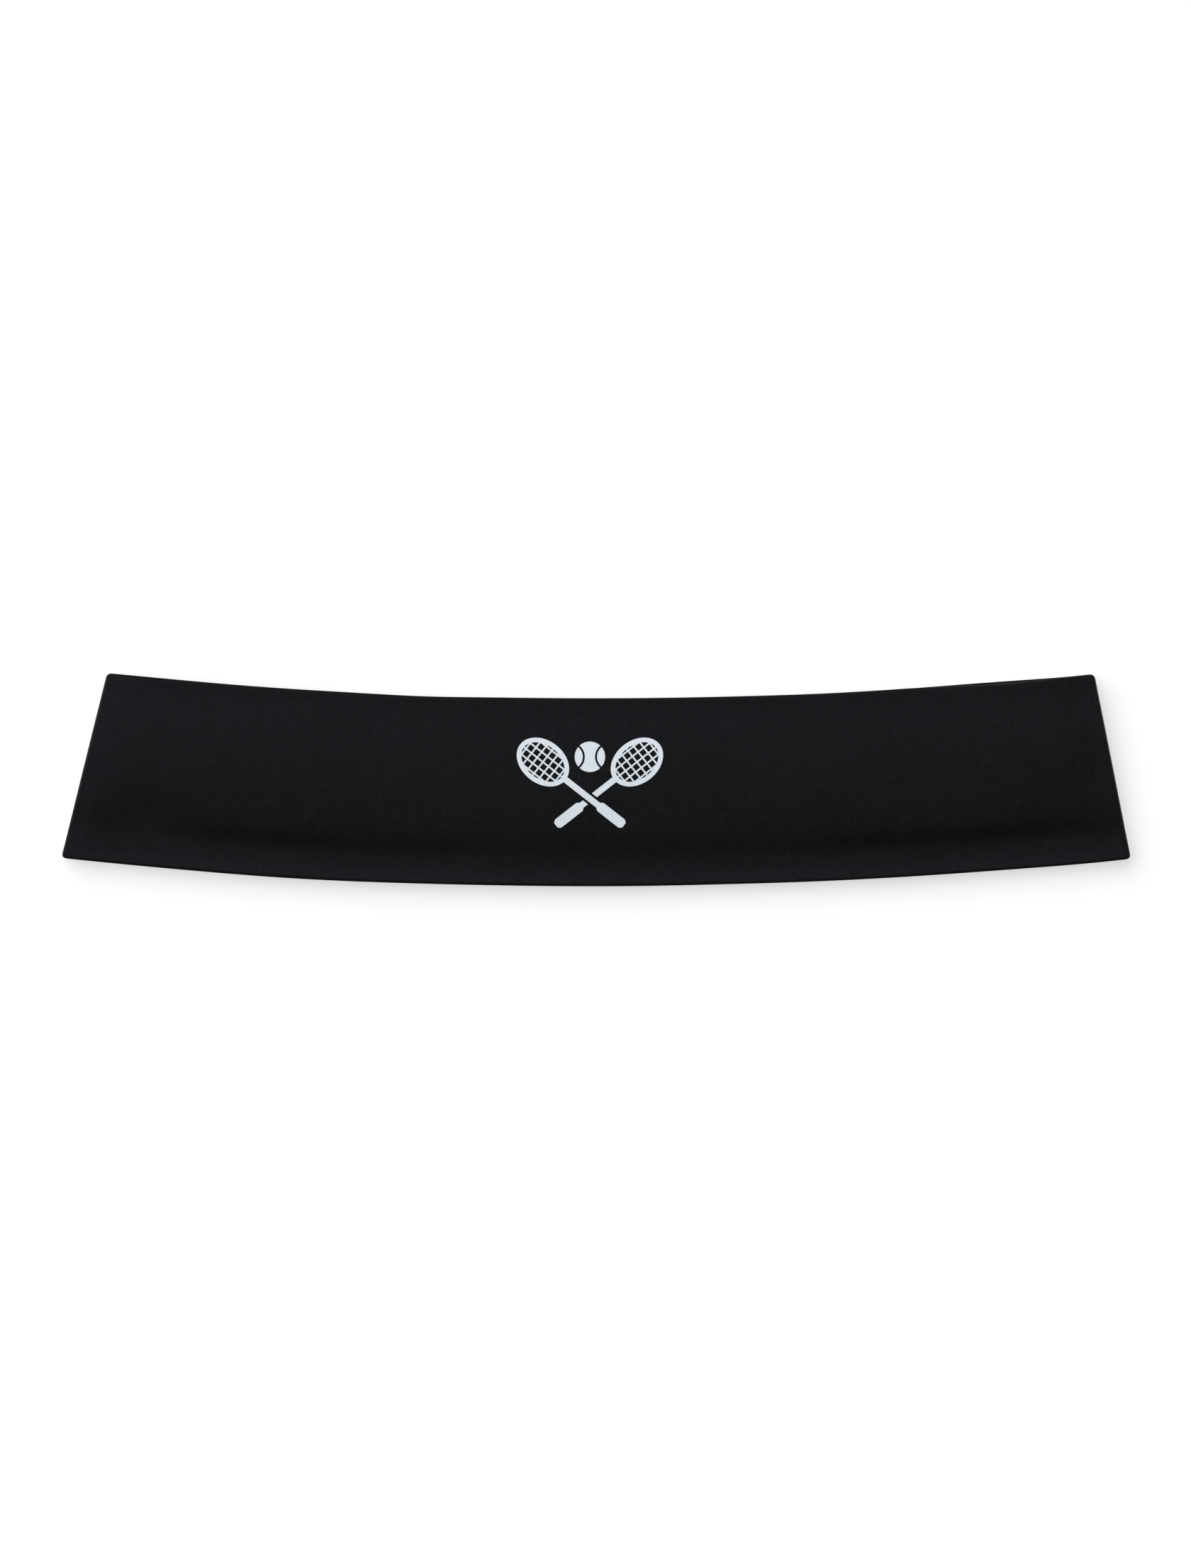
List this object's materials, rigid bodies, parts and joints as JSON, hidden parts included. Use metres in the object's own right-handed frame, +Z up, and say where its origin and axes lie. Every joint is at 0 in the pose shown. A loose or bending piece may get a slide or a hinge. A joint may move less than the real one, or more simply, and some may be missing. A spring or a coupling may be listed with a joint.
{
  "type": "sports headband",
  "caption": "Flat-pressed stretch-knit sports headband: contoured double-layer loop with turned edges, side seams and a printed racket emblem.",
  "frame": {"origin": "under the middle of the flat band's box, on the surface that it lies on", "axes": "+X along the band towards its right side, +Y across it towards its top edge, +Z up, out of the printed front"},
  "size_m": [0.2598, 0.0516, 0.0052],
  "materials": {
    "shell_knit": "matte fine interlock knit",
    "lining_knit": "matte fine interlock knit",
    "seam_thread": "textured nylon thread",
    "print_film": "matte heat-transfer film"
  },
  "bodies": {
    "root": {"front_shell": "shell_knit", "back_shell": "shell_knit", "front_lining": "lining_knit", "back_lining": "lining_knit", "front_top_seam_thread": "seam_thread", "front_lower_seam_thread": "seam_thread", "back_top_seam_thread": "seam_thread", "back_lower_seam_thread": "seam_thread", "left_side_seam_thread": "seam_thread", "right_side_seam_thread": "seam_thread", "emblem": "print_film"}
  },
  "joints": []
}
